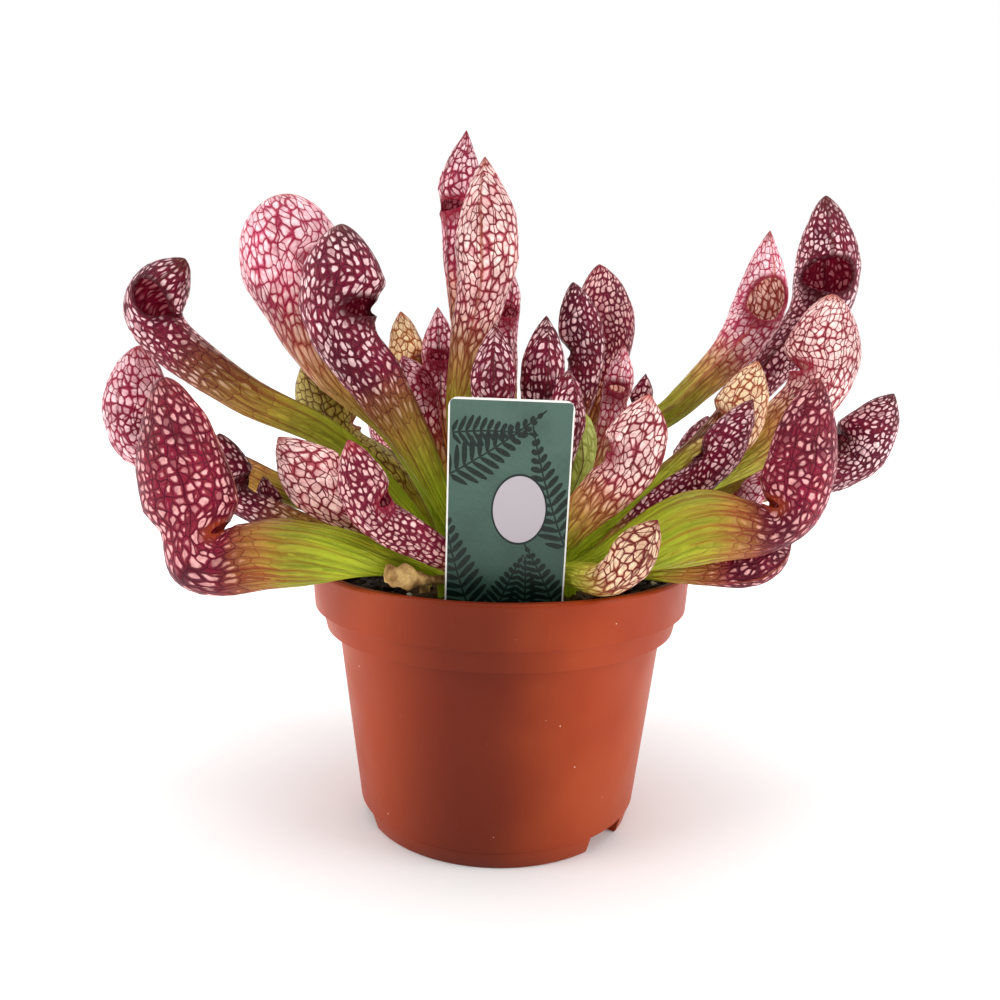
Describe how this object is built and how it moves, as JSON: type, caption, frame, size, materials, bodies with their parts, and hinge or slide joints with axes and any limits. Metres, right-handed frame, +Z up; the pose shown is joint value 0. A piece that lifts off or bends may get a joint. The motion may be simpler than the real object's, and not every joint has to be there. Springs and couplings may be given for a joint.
{
  "type": "potted pitcher plant",
  "caption": "Clump of hooded, net-veined pitcher leaves rising and arching from the soil of a tapered plastic nursery pot, with a plant label at the front.",
  "frame": {"origin": "centre of the pot's flat underside, on the surface that the pot stands on", "axes": "+Z up along the pot's axis, -Y towards the front, where the plant label stands, +X to the right seen from the front"},
  "size_m": [0.2589, 0.1582, 0.221],
  "materials": {
    "pot_plastic": "satin terracotta-coloured moulded plastic",
    "peat": "dark crumbly peat",
    "rootstock": "rough brown rootstock with leaf scars",
    "label_plastic": "thin printed plastic card, satin",
    "leaf_crimson": "waxy leaf, crimson with small pale windows, green towards the foot",
    "leaf_maroon": "waxy leaf, dark maroon with small pale windows, green towards the foot",
    "leaf_pale": "waxy leaf, near white windows in a crimson net, green towards the foot",
    "leaf_rosy": "waxy leaf, rose pink windows in a crimson net, green towards the foot",
    "leaf_golden": "waxy leaf, golden green in a brown net",
    "leaf_young": "waxy young leaf, plain yellow green",
    "leaf_dry": "papery dead leaf, tan"
  },
  "bodies": {
    "root": {"pot": "pot_plastic", "soil": "peat", "crown": "rootstock", "plant_label": "label_plastic", "pitcher_left_1": "leaf_crimson", "pitcher_left_2": "leaf_maroon", "pitcher_left_3": "leaf_rosy", "pitcher_left_4": "leaf_maroon", "pitcher_left_5": "leaf_pale", "pitcher_left_6": "leaf_maroon", "pitcher_left_7": "leaf_golden", "pitcher_left_8": "leaf_pale", "pitcher_left_9": "leaf_rosy", "pitcher_left_10": "leaf_maroon", "pitcher_middle_1": "leaf_pale", "pitcher_middle_2": "leaf_rosy", "pitcher_middle_3": "leaf_rosy", "pitcher_middle_4": "leaf_maroon", "pitcher_middle_5": "leaf_maroon", "pitcher_middle_6": "leaf_maroon", "pitcher_middle_7": "leaf_maroon", "pitcher_middle_8": "leaf_rosy", "pitcher_middle_9": "leaf_pale", "pitcher_middle_10": "leaf_maroon", "pitcher_middle_11": "leaf_pale", "pitcher_middle_12": "leaf_young", "pitcher_middle_13": "leaf_rosy", "pitcher_middle_14": "leaf_golden", "pitcher_middle_15": "leaf_rosy", "pitcher_right_1": "leaf_pale", "pitcher_right_2": "leaf_maroon", "pitcher_right_3": "leaf_pale", "pitcher_right_4": "leaf_crimson", "pitcher_right_5": "leaf_maroon", "pitcher_right_6": "leaf_golden", "pitcher_right_7": "leaf_maroon", "pitcher_right_8": "leaf_pale", "pitcher_right_9": "leaf_crimson", "pitcher_right_10": "leaf_golden", "pitcher_back_1": "leaf_crimson", "pitcher_back_2": "leaf_maroon", "pitcher_back_3": "leaf_golden", "pitcher_back_4": "leaf_rosy", "pitcher_back_5": "leaf_maroon", "pitcher_back_6": "leaf_pale", "pitcher_back_7": "leaf_rosy", "dried_leaf_1": "leaf_dry", "dried_leaf_2": "leaf_dry"}
  },
  "joints": []
}
